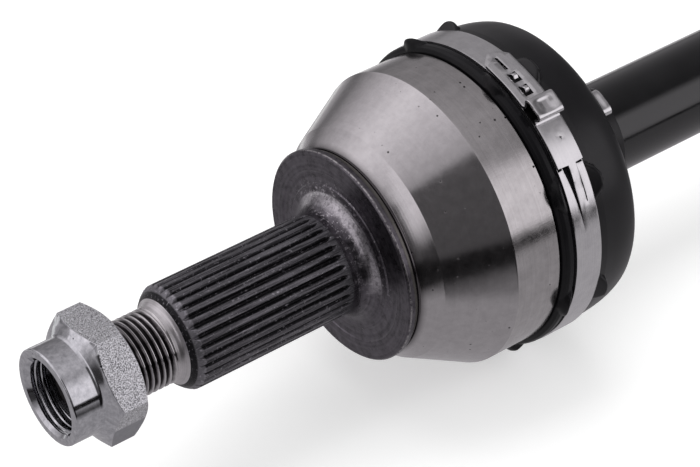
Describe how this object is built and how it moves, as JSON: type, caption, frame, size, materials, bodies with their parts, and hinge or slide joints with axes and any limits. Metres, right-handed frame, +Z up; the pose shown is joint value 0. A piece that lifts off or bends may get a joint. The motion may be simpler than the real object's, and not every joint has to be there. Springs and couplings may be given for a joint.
{
  "type": "drive shaft",
  "caption": "Car half shaft: splined stub with hub nut, fixed ball joint, solid bar and plunging tripod joint, with clamped boots at both ends.",
  "frame": {"origin": "on the shaft axis, halfway between the hub nut's collar and the gearbox spline's tip", "axes": "+X along the shaft from the hub nut to the gearbox end, +Z up; both joints bend about Z as stored"},
  "size_m": [0.6392, 0.1024, 0.1024],
  "materials": {
    "nut_zinc": "zinc plated, grit-blasted flats and a smooth collar",
    "race_steel": "turned and induction-hardened steel, dark phosphate on stub and flange",
    "cage_steel": "ground steel",
    "ball_steel": "polished bearing steel",
    "inner_steel": "ground steel",
    "clip_steel": "blackened spring steel",
    "boot_rubber": "matte moulded rubber",
    "clamp_stainless": "rolled stainless strip",
    "bar_paint": "gloss black paint",
    "spider_steel": "ground steel",
    "roller_steel": "polished bearing steel",
    "housing_steel": "turned forged steel",
    "adapter_plastic": "moulded black plastic"
  },
  "bodies": {
    "housing": {"tripod_housing": "housing_steel", "boot_adapter": "adapter_plastic", "box_boot": "boot_rubber", "box_boot_clamp_large": "clamp_stainless", "stub_circlip": "clip_steel"},
    "top_roller": {"roller_top": "roller_steel", "needles_top": "ball_steel"},
    "shaft": {"bar_shaft": "bar_paint", "tripod_spider": "spider_steel", "spider_circlips": "clip_steel", "trunnion_rings": "clip_steel", "inner_race": "inner_steel", "inner_race_circlip": "clip_steel", "wheel_boot_clamp_small": "clamp_stainless", "box_boot_clamp_small": "clamp_stainless"},
    "left_roller": {"roller_left": "roller_steel", "needles_left": "ball_steel"},
    "right_roller": {"roller_right": "roller_steel", "needles_right": "ball_steel"},
    "cage": {"ball_cage": "cage_steel", "race_balls": "ball_steel"},
    "wheel_end": {"outer_race": "race_steel", "wheel_boot": "boot_rubber", "wheel_boot_clamp_large": "clamp_stainless"},
    "nut": {"hub_nut": "nut_zinc"}
  },
  "joints": [
    {"name": "plunge", "type": "slide", "parent": "housing", "child": "top_roller", "axis": [1, 0, 0], "range_m": [-0.015, 0.015], "deforming": ["box_boot"]},
    {"name": "gearbox_end_tilt", "type": "hinge", "parent": "top_roller", "child": "shaft", "pos_m": [0.20811, 0, 0], "axis": [0, 0, 1], "range_deg": [-13, 13], "deforming": ["box_boot"]},
    {"name": "left_roller_spin", "type": "hinge", "parent": "shaft", "child": "left_roller", "pos_m": [0.20811, 0, 0], "axis": [0, -0.866, -0.5], "continuous": true},
    {"name": "right_roller_spin", "type": "hinge", "parent": "shaft", "child": "right_roller", "pos_m": [0.20811, 0, 0], "axis": [0, 0.866, -0.5], "continuous": true},
    {"name": "cage_swing", "type": "hinge", "parent": "shaft", "child": "cage", "pos_m": [-0.17689, 0, 0], "axis": [0, 0, 1], "range_deg": [-22.5, 22.5], "deforming": ["wheel_boot"]},
    {"name": "wheel_end_bend", "type": "hinge", "parent": "cage", "child": "wheel_end", "pos_m": [-0.17689, 0, 0], "axis": [0, 0, 1], "range_deg": [-22.5, 22.5], "deforming": ["wheel_boot"]},
    {"name": "nut_travel", "type": "slide", "parent": "wheel_end", "child": "nut", "axis": [-1, 0, 0], "range_m": [-0.016, 0.02]}
  ],
  "couplings": [
    {"joint": "cage_swing", "follows": "wheel_end_bend", "ratio": 1}
  ]
}
